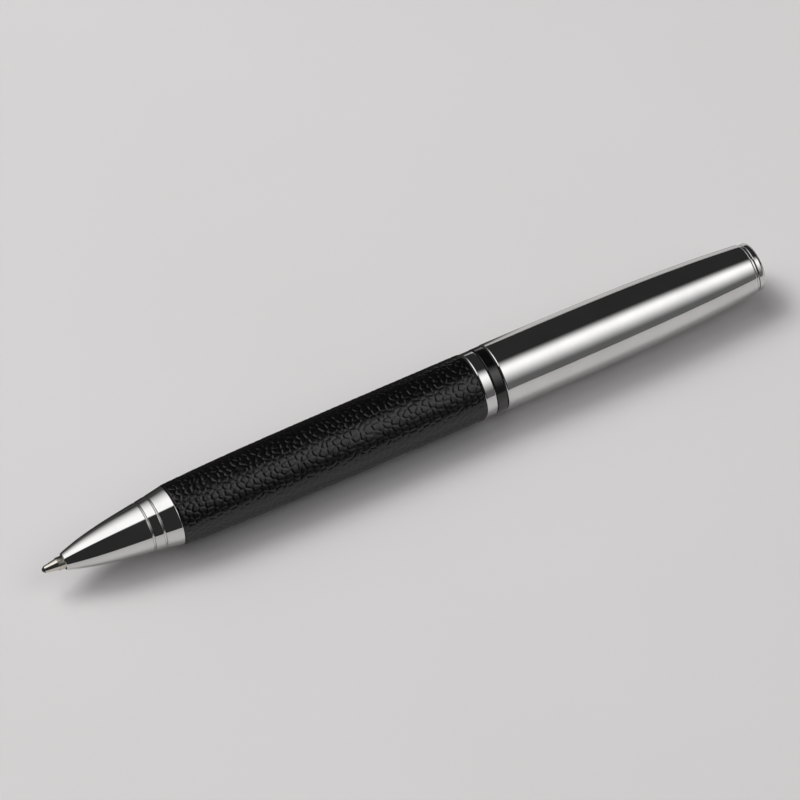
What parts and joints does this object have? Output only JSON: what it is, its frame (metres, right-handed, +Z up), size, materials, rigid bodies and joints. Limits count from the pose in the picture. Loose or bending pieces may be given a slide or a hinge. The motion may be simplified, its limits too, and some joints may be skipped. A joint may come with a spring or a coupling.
{
  "type": "ballpoint pen",
  "caption": "Twist-action ballpoint pen with a leather-covered barrel, a polished metal nose cone and cap, and a pocket clip.",
  "frame": {"origin": "on the table under the middle of the lying pen's box", "axes": "+X along the pen from its writing tip to its finial, +Y towards the clip's side, +Z up from the table"},
  "size_m": [0.138, 0.0138, 0.0122],
  "materials": {
    "chrome": "polished",
    "brass": "turned",
    "leather": "embossed",
    "enamel": "gloss",
    "white_plastic": "moulded",
    "steel": "drawn",
    "nickel": "turned",
    "carbide": "polished",
    "black_plastic": "moulded",
    "rubber": "matte",
    "ink": "wet",
    "grease": "wet"
  },
  "bodies": {
    "barrel": {"barrel_tube": "brass", "leather_sleeve": "leather", "front_bush": "brass", "rear_bush": "brass", "centre_ring": "chrome", "spacer_ring": "enamel", "thrust_washer": "white_plastic", "guide_sleeve": "steel", "friction_ring": "rubber", "return_spring": "steel"},
    "nose": {"nose_cone": "chrome"},
    "refill": {"writing_tip": "nickel", "tip_holder": "brass", "ink_tube": "steel", "ink": "ink", "ink_float": "grease", "refill_plug": "black_plastic", "follower": "black_plastic", "follower_pin": "steel"},
    "ball": {"writing_ball": "carbide"},
    "cap": {"cap_shell": "chrome", "cap_liner": "brass", "cam_sleeve": "brass", "finial_nut": "brass", "finial": "chrome", "clip_collar": "chrome"},
    "clip": {"clip_arm": "chrome"}
  },
  "joints": [
    {"name": "cap_twist", "type": "hinge", "parent": "barrel", "child": "cap", "pos_m": [0.01705, -0.00076, 0.0061], "axis": [1, 0, 0], "range_deg": [0, 180]},
    {"name": "refill_slide", "type": "slide", "parent": "barrel", "child": "refill", "axis": [1, 0, 0], "range_m": [0, 0.0052], "deforming": ["return_spring"]},
    {"name": "ball_roll", "type": "hinge", "parent": "refill", "child": "ball", "pos_m": [-0.0685, -0.00076, 0.0061], "axis": [0, 1, 0], "continuous": true},
    {"name": "nose_unscrew", "type": "slide", "parent": "barrel", "child": "nose", "axis": [-1, 0, 0], "range_m": [0, 0.032]},
    {"name": "clip_flex", "type": "hinge", "parent": "cap", "child": "clip", "pos_m": [0.06725, 0.00458, 0.00235], "axis": [0, -0.575, -0.8182], "range_deg": [0, 5], "stiffness_Nm_per_rad": 1, "springref_deg": -1.15}
  ],
  "couplings": [
    {"joint": "cap_twist", "follows": "refill_slide", "rad_per_m": 604.15}
  ]
}
